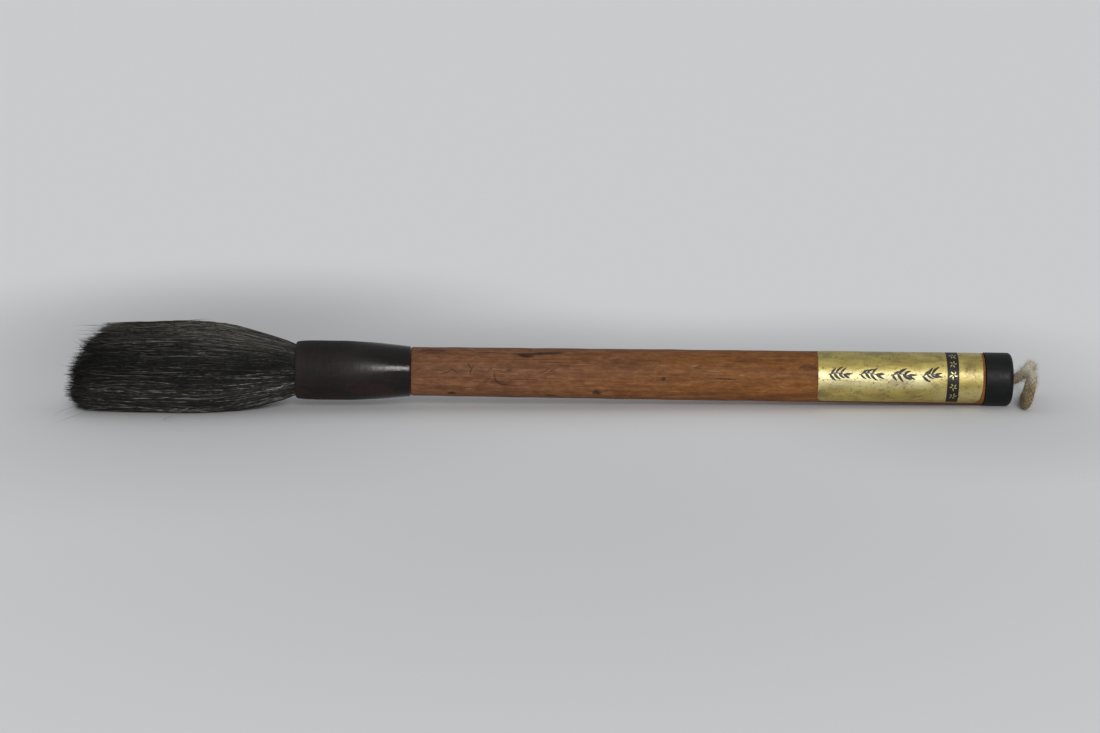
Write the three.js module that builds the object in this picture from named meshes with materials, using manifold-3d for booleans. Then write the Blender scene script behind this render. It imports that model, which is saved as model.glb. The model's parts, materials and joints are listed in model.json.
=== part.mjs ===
// A large calligraphy brush lying on a table: a soft hair tuft, bound at its root and set in a turned horn
// socket, a bamboo handle with a foil paper label, and a horn end cap that holds a cotton hanging loop.
// Millimetres. The brush is drawn along its own axis, +X towards the end cap, with x = 0 at the socket's
// lip. It is then laid on the table (z = 0), where it rests on the side of the tuft and on the end cap.

import * as THREE from "three";
import { mergeVertices } from "three/addons/utils/BufferGeometryUtils.js";
import Module from "manifold-3d";

const wasm = await Module();
wasm.setup();

// ---- driving dimensions ----
const SOCKET_LENGTH = 48.6;
const HANDLE_LENGTH = 242.1; // the bamboo that shows, from the socket to the end cap
const CAP_LENGTH = 11.8;
const TUFT_LENGTH = 93; // on the axis, from the lip

const SOCKET_RADIUS = 12.55;
const SOCKET_REAR_RADIUS = 10.6;
const HANDLE_FRONT_RADIUS = 10.3;
const HANDLE_REAR_RADIUS = 10.8;
const CAP_RADIUS = 11.2;

const GAP = 0.3; // between neighbouring pieces
const SIDES = 40; // facets round each turned piece, with one facet underneath

// ---- places along the axis ----
const CAP_FRONT_X = SOCKET_LENGTH + HANDLE_LENGTH;
const CAP_REAR_X = CAP_FRONT_X + CAP_LENGTH;

// ---- socket ----
const CUP_RADIUS = 9.9; // the cup holds the bound root of the hair
const CUP_DEPTH = 18;
const LIP_ROUND = 1.4;
const WEB_THICKNESS = 5; // left between the cup and the bore for the tenon
const WEB_HOLE_RADIUS = 3;

// ---- handle ----
const TENON_RADIUS = 7.4;
const TENON_LENGTH = 20;
const CULM_BORE_RADIUS = 5.4;
const REAMED_RADIUS = 6.7; // widened behind, for the end cap's spigot and the knot
const REAMED_DEPTH = 26;
const DIAPHRAGM_X = 120; // the bamboo's own wall across its hollow
const DIAPHRAGM_THICKNESS = 3;
const SHOULDER_ROUND = 0.6;

// ---- label ----
const LABEL_LENGTH = 69.3;
const LABEL_TO_CAP = 1.3;
const LABEL_LOW_ANGLE = -54; // degrees up from the side that faces -Y
const LABEL_HIGH_ANGLE = 96;
const LABEL_THICKNESS = 0.15;
const LABEL_STANDOFF = 0.1;

// ---- end cap and hanging loop ----
const SPIGOT_LENGTH = 9;
const CORD_HOLE_RADIUS = 3.8;
const MOUTH_FLARE = 0.7;
const CAP_ROUND = 2;
const CORD_RADIUS = 1.6;
const STRAND_OFFSET = 1.75; // the loop's two strands leave the hole side by side, this far off its axis
const LOOP_PIVOT_OUT = CORD_RADIUS + GAP; // the loop swings about a line this far behind the cap

// ---- tuft ----
const MANTLE_THICKNESS = 3.4;
const BELLY_THICKNESS = 4.2;
const BEND_PIVOT_OUT = 10; // the free hair bends about a point on the axis, this far in front of the lip
const BEND_RADIUS = 14; // of the ball where the free hair meets its root
const ROOT_RADIUS = 8.6;
const THREAD_RADIUS = 0.42;
const TIP_SLANT = 0.53; // the upper hairs end this much sooner, per millimetre over the axis
const SLANT_FROM = 55; // distances from the lip between which the slant grows
const SLANT_FULL = 85;
// The tuft's outline, as distance from the lip and radius.
const TUFT_OUTLINE = [
  [2, 11.6],
  [8, 13.5],
  [18.5, 16.4],
  [29, 18.8],
  [40, 19.9],
  [50, 19.8],
  [60, 19.2],
  [70, 18.3],
  [78, 17.5],
  [84, 16.6],
  [88.5, 15.2],
  [91.2, 12.2],
  [92.6, 7.5],
];

// ---- how the brush lies on the table ----
const REST_RADIUS = 17.6; // height of the axis over the table at the middle of the tuft
const REST_OUT = 55; // distance of that middle from the lip
const CAP_CONTACT_X = CAP_REAR_X - CAP_ROUND;
const TILT = Math.asin((REST_RADIUS - CAP_RADIUS) / (CAP_CONTACT_X + REST_OUT));

// Half of the loop's route, from its pivot to the middle of its far end, as distance behind the end cap's
// face, distance to the side that faces -Y, and height over the axis. The other half is its mirror image,
// but the loop leans: past its pivot, each millimetre towards +Y takes it LOOP_LEAN further back.
const LOOP_LEAN = 0.14;
const LOOP_ROUTE = [
  [LOOP_PIVOT_OUT, STRAND_OFFSET, 0],
  [5.2, 3.1, 2.4],
  [7.8, 6.3, 4.1],
  [9.2, 10.5, 3.8],
  [9.2, 13.9, 1.5],
  [8.7, 15.3, -2.3],
  [7.9, 14.4, -6.1],
  [7, 11.3, -8.6],
  [6.2, 6.6, -9.3],
  [6.1, 3.8, -9.33],
  [6, 0, -9.33],
];

const COLOURS = {
  hair: 0x1d1b18,
  hairRoot: 0x161412,
  thread: 0xb9a47c,
  rosin: 0x5a3413,
  horn: 0x221a18,
  bamboo: 0x7d4a2c,
  foil: 0xb59b4c,
  cap: 0x1c1c1b,
  cotton: 0xa3977b,
};

function material(color, roughness, metalness = 0) {
  return new THREE.MeshStandardMaterial({ color, roughness, metalness });
}

function piece(name, geometry, look) {
  const mesh = new THREE.Mesh(geometry, look);
  mesh.name = name;
  return mesh;
}

// ---- ways to make a solid ----

// Turns an outline of [x, radius] points, from low x to high x, about the brush's axis.
function turned(outline) {
  const points = outline.map(([x, radius]) => new THREE.Vector2(radius, x));
  const halfFacet = Math.PI / SIDES;
  return new THREE.LatheGeometry(points, SIDES, halfFacet).rotateZ(-Math.PI / 2);
}

// Part of a circle as [x, radius] points, without its first point.
function arc(centreX, centreRadius, round, fromDegrees, toDegrees, steps) {
  return Array.from({ length: steps }, (_, i) => {
    const a = THREE.MathUtils.degToRad(fromDegrees + ((toDegrees - fromDegrees) * (i + 1)) / steps);
    return [centreX + round * Math.cos(a), centreRadius + round * Math.sin(a)];
  });
}

function tube(path, radius, sides, steps) {
  const section = new THREE.Shape();
  section.absarc(0, 0, radius, 0, 2 * Math.PI, false);
  return new THREE.ExtrudeGeometry(section, {
    steps,
    curveSegments: sides / 2,
    extrudePath: path,
    bevelEnabled: false,
  });
}

function solid(geometry) {
  const bare = geometry.index ? geometry.toNonIndexed() : geometry.clone();
  bare.deleteAttribute("normal");
  bare.deleteAttribute("uv");
  const merged = mergeVertices(bare, 1e-4);
  return new wasm.Manifold(
    new wasm.Mesh({
      numProp: 3,
      vertProperties: merged.attributes.position.array,
      triVerts: new Uint32Array(merged.index.array),
    }),
  );
}

function geometryOf(manifold) {
  const mesh = manifold.getMesh();
  const geometry = new THREE.BufferGeometry();
  geometry.setAttribute("position", new THREE.BufferAttribute(mesh.vertProperties, mesh.numProp));
  geometry.setIndex(new THREE.BufferAttribute(mesh.triVerts, 1));
  const flat = geometry.toNonIndexed();
  flat.computeVertexNormals();
  return flat;
}

// ---- the brush on the table ----

// From the brush's own frame to the table's, with the head raised and the end cap touching z = 0.
const capUnderside = CAP_RADIUS * Math.cos(Math.PI / SIDES);
const lying = new THREE.Matrix4()
  .makeRotationY(TILT)
  .setPosition(0, 0, CAP_CONTACT_X * Math.sin(TILT) + capUnderside * Math.cos(TILT));

// Everything under the table, in the brush's own frame.
function underTable() {
  const SIZE = 400;
  const block = new THREE.BoxGeometry(SIZE, SIZE, SIZE).translate(0, 0, -SIZE / 2);
  return solid(block.applyMatrix4(lying.clone().invert()));
}

// ---- free hair ----

const tuftCurve = new THREE.SplineCurve(TUFT_OUTLINE.map(([out, r]) => new THREE.Vector2(out, r)));

// Outline of the hair at a depth under the tuft's surface, from near the tip to the rim of its ball.
function hairSide(depth, steps) {
  return tuftCurve
    .getPoints(steps)
    .map((p) => [-p.x, p.y - depth])
    .filter(([x, radius]) => radius > 1 && Math.hypot(x + BEND_PIVOT_OUT, radius) > BEND_RADIUS)
    .reverse();
}

// The side of an inner layer, which ends in front of the bend's pivot and short of its own tip.
function innerSide(depth, length) {
  return hairSide(depth, 12).filter(([x]) => x < -BEND_PIVOT_OUT - 2 && x > 2 - length);
}

// Part of a ball about the bend's pivot, from one distance off the axis to another.
function ballOutline(ballRadius, fromRadius, toRadius, steps) {
  return Array.from({ length: steps + 1 }, (_, i) => {
    const radius = fromRadius + ((toRadius - fromRadius) * i) / steps;
    return [Math.sqrt(ballRadius ** 2 - radius ** 2) - BEND_PIVOT_OUT, radius];
  });
}

function slantTip(geometry) {
  const position = geometry.attributes.position;
  for (let i = 0; i < position.count; i++) {
    const share = THREE.MathUtils.smoothstep(-position.getX(i), SLANT_FROM, SLANT_FULL);
    const height = Math.max(position.getZ(i), 0);
    position.setX(i, position.getX(i) + TIP_SLANT * share * height);
  }
  return geometry;
}

// The free hair is three layers that are sewn into one bundle: a core, a belly of shorter hair round it
// that holds the ink, and a mantle over both. Each is a closed cup round the next.
const BELLY_DEPTH = MANTLE_THICKNESS + GAP;
const CORE_DEPTH = BELLY_DEPTH + BELLY_THICKNESS + GAP;
const MANTLE_RIM = 11.35;
const MANTLE_ROOT = 8;
const BELLY_ROOT = 4.6;

function hairCore() {
  const length = TUFT_LENGTH - CORE_DEPTH;
  return slantTip(
    turned([
      [-length, 0],
      ...innerSide(CORE_DEPTH, length),
      ...ballOutline(BEND_RADIUS, BELLY_ROOT - GAP, 0, 3),
    ]),
  );
}

function hairBelly() {
  const length = TUFT_LENGTH - BELLY_DEPTH;
  const hollow = length - BELLY_THICKNESS;
  return slantTip(
    turned([
      [-length, 0],
      ...innerSide(BELLY_DEPTH, length),
      ...ballOutline(BEND_RADIUS, MANTLE_ROOT - GAP, BELLY_ROOT, 2),
      ...innerSide(CORE_DEPTH - GAP, hollow).reverse(),
      [-hollow, 0],
    ]),
  );
}

function hairMantle() {
  const hollow = TUFT_LENGTH - MANTLE_THICKNESS;
  const outline = [
    [-TUFT_LENGTH, 0],
    ...hairSide(0, 20),
    ...ballOutline(BEND_RADIUS, MANTLE_RIM, MANTLE_ROOT, 2),
    ...innerSide(BELLY_DEPTH - GAP, hollow).reverse(),
    [-hollow, 0],
  ];
  return geometryOf(solid(slantTip(turned(outline))).subtract(underTable()));
}

// ---- inside the socket's cup ----

const ROOT_BACK_X = CUP_DEPTH - 2.4;

// The roots of all the hairs, tied into one bundle and set in the cup.
function hairRoot() {
  const neck = CUP_RADIUS - GAP;
  return turned([
    ...ballOutline(BEND_RADIUS + GAP, 0, 11.1, 6),
    [-0.4, 9.9],
    [0.9, neck],
    [4.8, neck],
    [6.8, ROOT_RADIUS],
    [ROOT_BACK_X - 0.6, ROOT_RADIUS],
    [ROOT_BACK_X, ROOT_RADIUS - 0.6],
    [ROOT_BACK_X, 0],
  ]);
}

function bindingThread() {
  const TURNS = 5;
  const PITCH = 1.1;
  const STEPS_A_TURN = 16;
  const START_X = 8.2;
  const radius = ROOT_RADIUS + THREAD_RADIUS + GAP;
  const points = Array.from({ length: TURNS * STEPS_A_TURN + 1 }, (_, i) => {
    const turn = i / STEPS_A_TURN;
    const a = 2 * Math.PI * turn;
    return new THREE.Vector3(START_X + PITCH * turn, radius * Math.cos(a), radius * Math.sin(a));
  });
  return tube(new THREE.CatmullRomCurve3(points), THREAD_RADIUS, 6, TURNS * STEPS_A_TURN);
}

// Rosin melted into the bottom of the cup, which seals the root.
function rosinBed() {
  const front = ROOT_BACK_X + GAP;
  const back = CUP_DEPTH - GAP;
  const radius = CUP_RADIUS - GAP;
  return turned([
    [front, 0],
    [front, ROOT_RADIUS - 0.7],
    [front - 1.2, ROOT_RADIUS + GAP],
    [front - 1.2, radius],
    [back, radius],
    [back, 0],
  ]);
}

// ---- socket, handle, label ----

function hornSocket() {
  const lipRadius = CUP_RADIUS + LIP_ROUND;
  const tenonBore = TENON_RADIUS + GAP;
  const tenonBoreX = CUP_DEPTH + WEB_THICKNESS;
  const outside = new THREE.SplineCurve(
    [
      [1.2, 12],
      [4.4, 12.3],
      [12, SOCKET_RADIUS],
      [22, 12.5],
      [32, 12.05],
      [40, 11.45],
      [SOCKET_LENGTH - 0.4, SOCKET_REAR_RADIUS],
    ].map(([x, radius]) => new THREE.Vector2(x, radius)),
  );
  return turned([
    [CUP_DEPTH, WEB_HOLE_RADIUS],
    [CUP_DEPTH, CUP_RADIUS],
    [0.7, CUP_RADIUS],
    ...arc(LIP_ROUND, lipRadius - 0.1, LIP_ROUND, 205, 130, 4),
    ...outside.getPoints(12).slice(1).map((p) => [p.x, p.y]),
    [SOCKET_LENGTH, SOCKET_REAR_RADIUS - 0.4],
    [SOCKET_LENGTH, tenonBore],
    [tenonBoreX, tenonBore],
    [tenonBoreX, WEB_HOLE_RADIUS],
    [CUP_DEPTH, WEB_HOLE_RADIUS],
  ]);
}

function handleTube() {
  const tenonX = SOCKET_LENGTH - TENON_LENGTH;
  const shoulderX = SOCKET_LENGTH + GAP;
  const rearX = CAP_FRONT_X - GAP;
  const reamedX = CAP_FRONT_X - REAMED_DEPTH;
  const labelX = CAP_FRONT_X - LABEL_TO_CAP - LABEL_LENGTH - 2;
  return turned([
    [DIAPHRAGM_X, 0],
    [DIAPHRAGM_X, CULM_BORE_RADIUS],
    [tenonX, CULM_BORE_RADIUS],
    [tenonX, TENON_RADIUS - 0.8],
    [tenonX + 0.8, TENON_RADIUS],
    [shoulderX, TENON_RADIUS],
    [shoulderX, HANDLE_FRONT_RADIUS - SHOULDER_ROUND],
    ...arc(shoulderX + SHOULDER_ROUND, HANDLE_FRONT_RADIUS - SHOULDER_ROUND, SHOULDER_ROUND, 180, 90, 3),
    [SOCKET_LENGTH + 80, 10.6],
    [labelX, HANDLE_REAR_RADIUS],
    [rearX, HANDLE_REAR_RADIUS],
    [rearX, REAMED_RADIUS],
    [reamedX, REAMED_RADIUS],
    [reamedX, CULM_BORE_RADIUS],
    [DIAPHRAGM_X + DIAPHRAGM_THICKNESS, CULM_BORE_RADIUS],
    [DIAPHRAGM_X + DIAPHRAGM_THICKNESS, 0],
  ]);
}

// A sheet of foil paper pasted round part of the handle.
function foilLabel() {
  const inner = HANDLE_REAR_RADIUS + LABEL_STANDOFF;
  const outer = inner + LABEL_THICKNESS;
  const low = THREE.MathUtils.degToRad(LABEL_LOW_ANGLE);
  const high = THREE.MathUtils.degToRad(LABEL_HIGH_ANGLE);
  const sector = new THREE.Shape();
  sector.absarc(0, 0, outer, low, high, false);
  sector.absarc(0, 0, inner, high, low, true);
  const sheet = new THREE.ExtrudeGeometry(sector, {
    depth: LABEL_LENGTH,
    bevelEnabled: false,
    curveSegments: 14,
  });
  // The sector's x, y and depth lie along the brush's -Y, +Z and -X.
  const place = new THREE.Matrix4().makeBasis(
    new THREE.Vector3(0, -1, 0),
    new THREE.Vector3(0, 0, 1),
    new THREE.Vector3(-1, 0, 0),
  );
  return sheet.applyMatrix4(place).translate(CAP_FRONT_X - LABEL_TO_CAP, 0, 0);
}

// ---- end cap and cord ----

function endCap() {
  const spigotX = CAP_FRONT_X - SPIGOT_LENGTH;
  const spigotRadius = REAMED_RADIUS - GAP;
  const EDGE = 0.25;
  return turned([
    [spigotX, CORD_HOLE_RADIUS],
    [spigotX, spigotRadius - 0.5],
    [spigotX + 0.5, spigotRadius],
    [CAP_FRONT_X, spigotRadius],
    [CAP_FRONT_X, CAP_RADIUS - EDGE],
    [CAP_FRONT_X + EDGE, CAP_RADIUS],
    [CAP_CONTACT_X, CAP_RADIUS],
    ...arc(CAP_CONTACT_X, CAP_RADIUS - CAP_ROUND, CAP_ROUND, 90, 0, 5),
    [CAP_REAR_X, CORD_HOLE_RADIUS + MOUTH_FLARE],
    [CAP_REAR_X - MOUTH_FLARE, CORD_HOLE_RADIUS],
    [spigotX, CORD_HOLE_RADIUS],
  ]);
}

// Its round ends turn in place when the loop swings about the line through their centres.
function cordLoop() {
  const half = (towardsPlusY) =>
    LOOP_ROUTE.map(([out, side, up], i) => {
      const y = towardsPlusY * side;
      return new THREE.Vector3(CAP_REAR_X + out + (i > 0 ? LOOP_LEAN * y : 0), y, up);
    });
  const near = half(-1);
  const far = half(1).slice(0, -1).reverse();
  const path = new THREE.CatmullRomCurve3([...near, ...far], false, "centripetal");
  const cord = solid(tube(path, CORD_RADIUS, 10, 40));
  const end = (side) =>
    solid(
      new THREE.SphereGeometry(CORD_RADIUS, 12, 8).translate(
        CAP_REAR_X + LOOP_PIVOT_OUT,
        side * STRAND_OFFSET,
        0,
      ),
    );
  return geometryOf(cord.add(end(-1)).add(end(1)));
}

// The knot inside the handle that holds both ends of the cord, with the two strands through the cap.
function cordKnot() {
  const KNOT_RADIUS = 5.4;
  const KNOT_LENGTH = 9;
  const knotBack = CAP_FRONT_X - SPIGOT_LENGTH - GAP;
  const knotMiddle = knotBack - KNOT_LENGTH / 2;
  const bead = new THREE.SphereGeometry(KNOT_RADIUS, 20, 12)
    .scale(KNOT_LENGTH / 2 / KNOT_RADIUS, 1, 1)
    .translate(knotMiddle, 0, 0);
  const strandLength = CAP_REAR_X - knotMiddle;
  const strand = (side) =>
    solid(
      new THREE.CylinderGeometry(CORD_RADIUS, CORD_RADIUS, strandLength, 10)
        .rotateZ(-Math.PI / 2)
        .translate(CAP_REAR_X - strandLength / 2, side * STRAND_OFFSET, 0),
    );
  return geometryOf(solid(bead).add(strand(-1)).add(strand(1)));
}

// ---- assembly ----

const horn = material(COLOURS.horn, 0.35);
const hair = material(COLOURS.hair, 0.7);
const cotton = material(COLOURS.cotton, 0.95);

const brush = new THREE.Group();
brush.add(
  piece("hair_core", hairCore(), hair),
  piece("hair_belly", hairBelly(), hair),
  piece("hair_mantle", hairMantle(), hair),
  piece("hair_root", hairRoot(), material(COLOURS.hairRoot, 0.8)),
  piece("binding_thread", bindingThread(), material(COLOURS.thread, 0.9)),
  piece("rosin_bed", rosinBed(), material(COLOURS.rosin, 0.3)),
  piece("horn_socket", hornSocket(), horn),
  piece("handle_tube", handleTube(), material(COLOURS.bamboo, 0.55)),
  piece("foil_label", foilLabel(), material(COLOURS.foil, 0.4, 0.8)),
  piece("end_cap", endCap(), material(COLOURS.cap, 0.3)),
  piece("cord_loop", cordLoop(), cotton),
  piece("cord_knot", cordKnot(), cotton),
);

// Lie it down, with the origin on the table under the middle of the brush, cord left out.
brush.applyMatrix4(lying);
brush.updateMatrixWorld(true);
const extent = new THREE.Box3();
for (const mesh of brush.children) {
  if (!mesh.name.startsWith("cord_")) extent.expandByObject(mesh, true);
}
brush.position.x -= extent.getCenter(new THREE.Vector3()).x;

export default brush;
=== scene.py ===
"""Looks for a large calligraphy brush that lies on a table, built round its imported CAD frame.

The brush is described in its own frame, in millimetres: x runs along its axis from the socket's lip towards
the end cap, y is the world's y, and z is up, square to the axis. An angle round it is in degrees, upwards
from the side that faces -y. put() takes such points to the row frame, in metres.
"""

import json
import math

import bpy
import numpy as np
from mathutils import Matrix, Vector


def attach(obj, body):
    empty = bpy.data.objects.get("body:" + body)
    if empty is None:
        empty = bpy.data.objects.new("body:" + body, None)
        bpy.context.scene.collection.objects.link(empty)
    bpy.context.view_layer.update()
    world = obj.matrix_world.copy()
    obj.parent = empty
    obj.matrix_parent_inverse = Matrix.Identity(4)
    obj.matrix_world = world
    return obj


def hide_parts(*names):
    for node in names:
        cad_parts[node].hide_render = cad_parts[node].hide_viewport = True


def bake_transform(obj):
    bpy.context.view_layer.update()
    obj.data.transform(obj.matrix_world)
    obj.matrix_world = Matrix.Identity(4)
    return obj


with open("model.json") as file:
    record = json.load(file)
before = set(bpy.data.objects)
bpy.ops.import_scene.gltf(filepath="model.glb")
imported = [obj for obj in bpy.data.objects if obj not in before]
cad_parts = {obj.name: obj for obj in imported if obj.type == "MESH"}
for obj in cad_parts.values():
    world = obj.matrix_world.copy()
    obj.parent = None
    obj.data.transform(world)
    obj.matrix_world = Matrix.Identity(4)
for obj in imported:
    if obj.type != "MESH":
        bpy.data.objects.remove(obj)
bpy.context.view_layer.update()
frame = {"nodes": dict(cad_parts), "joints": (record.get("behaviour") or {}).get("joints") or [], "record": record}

MM = 0.001
SEED = 20


# ---- the brush's own frame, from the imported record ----


def named(rows, name):
    return next(row for row in rows if row["name"] == name)


BEND_PIVOT_OUT = 10
butt_face = named(frame["record"]["mounts"], "butt_face")
tuft_bend = named(frame["joints"], "tuft_bend")
AXIS = Vector(butt_face["axis"]).normalized()
SIDE = Vector((0, 1, 0))
UPRIGHT = AXIS.cross(SIDE)
LIP = Vector(tuft_bend["pos_m"]) + BEND_PIVOT_OUT * MM * AXIS
BASIS = np.array([AXIS, SIDE, UPRIGHT])


def put(points):
    return np.array(LIP) + np.asarray(points, float) * MM @ BASIS


def round_axis(x, angle, radius):
    """Points at x, an angle in radians and a distance from the axis. Each may be an array."""
    x, angle, radius = np.broadcast_arrays(x, angle, radius)
    return np.stack([x, -radius * np.cos(angle), radius * np.sin(angle)], -1)


def add_object(name, data):
    obj = bpy.data.objects.new(name, data)
    bpy.context.scene.collection.objects.link(obj)
    return obj


# ---- sizes that the CAD source states too, in millimetres ----

SOCKET_LENGTH = 48.6
CAP_FRONT = 290.7
CAP_REAR = 302.5
SOCKET_RADIUS = 12.55
SOCKET_REAR_RADIUS = 10.6
HANDLE_FRONT_RADIUS = 10.3
HANDLE_REAR_RADIUS = 10.8
CAP_RADIUS = 11.2
GAP = 0.3
CUP_RADIUS = 9.9
CUP_DEPTH = 18
WEB_THICKNESS = 5
WEB_HOLE_RADIUS = 3
LIP_ROUND = 1.4
TENON_RADIUS = 7.4
TENON_LENGTH = 20
CULM_BORE_RADIUS = 5.4
REAMED_RADIUS = 6.7
REAMED_DEPTH = 26
DIAPHRAGM_X = 120
DIAPHRAGM_THICKNESS = 3
LABEL_LENGTH = 69.3
LABEL_REAR = CAP_FRONT - 1.3
LABEL_LOW = -54
LABEL_HIGH = 96
LABEL_RADIUS = HANDLE_REAR_RADIUS + 0.1
LABEL_TOP_RADIUS = LABEL_RADIUS + 0.15
SPIGOT_LENGTH = 9
CORD_HOLE_RADIUS = 3.8
MOUTH_FLARE = 0.7
CAP_ROUND = 2
CORD_RADIUS = 1.6
STRAND_OFFSET = 1.75
LOOP_PIVOT_OUT = CORD_RADIUS + GAP
ROOT_RADIUS = 8.6
ROOT_BACK = CUP_DEPTH - 2.4
THREAD_RADIUS = 0.42

# Half of the hanging loop's route: distance behind the end cap, towards the -y side, and over the axis.
# The other half is its mirror image, but past its pivot each millimetre towards +y takes it further back.
LOOP_LEAN = 0.14
LOOP_ROUTE = [
    (LOOP_PIVOT_OUT, STRAND_OFFSET, 0),
    (5.2, 3.1, 2.4),
    (7.8, 6.3, 4.1),
    (9.2, 10.5, 3.8),
    (9.2, 13.9, 1.5),
    (8.7, 15.3, -2.3),
    (7.9, 14.4, -6.1),
    (7, 11.3, -8.6),
    (6.2, 6.6, -9.3),
    (6.1, 3.8, -9.33),
    (6, 0, -9.33),
]


# ---- camera, floor and light ----


def aim(obj, location, target, roll=0):
    """Places a camera or a light so that it looks at a point. The roll is anticlockwise, in radians."""
    back = (Vector(location) - Vector(target)).normalized()
    turn = back.to_track_quat("Z", "Y").to_matrix() @ Matrix.Rotation(roll, 3, "Z")
    obj.matrix_world = Matrix.Translation(location) @ turn.to_4x4()


def add_camera():
    LENS = 97.4
    DISTANCE = 1.26
    ELEVATION = math.radians(13)
    ROLL = math.radians(-0.24)
    data = bpy.data.cameras.new("camera")
    data.lens = LENS
    data.sensor_width = 36
    data.clip_start = 0.05
    data.clip_end = 60
    camera = add_object("camera", data)
    target = Vector((0.00253, 0, 0.01748))
    back = Vector((0, -math.cos(ELEVATION), math.sin(ELEVATION)))
    aim(camera, target + DISTANCE * back, target, ROLL)
    bpy.context.scene.camera = camera


def add_light():
    """A broad soft lamp in front and above, with even light from all round."""
    KEY_HEIGHT = math.radians(25)
    KEY_TO_THE_RIGHT = math.radians(7)
    data = bpy.data.lights.new("key", "SUN")
    data.energy = 1.55
    data.angle = math.radians(17)
    data.color = (1, 0.99, 0.97)
    key = add_object("key", data)
    level = math.cos(KEY_HEIGHT)
    right = level * math.sin(KEY_TO_THE_RIGHT)
    front = -level * math.cos(KEY_TO_THE_RIGHT)
    aim(key, (right, front, math.sin(KEY_HEIGHT)), (0, 0, 0))
    world = bpy.data.worlds.new("world")
    world.use_nodes = True
    background = world.node_tree.nodes["Background"]
    background.inputs["Color"].default_value = (0.95, 0.97, 1, 1)
    background.inputs["Strength"].default_value = 0.45
    bpy.context.scene.world = world
    bpy.context.scene.view_settings.view_transform = "Standard"


# ---- materials ----


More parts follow.
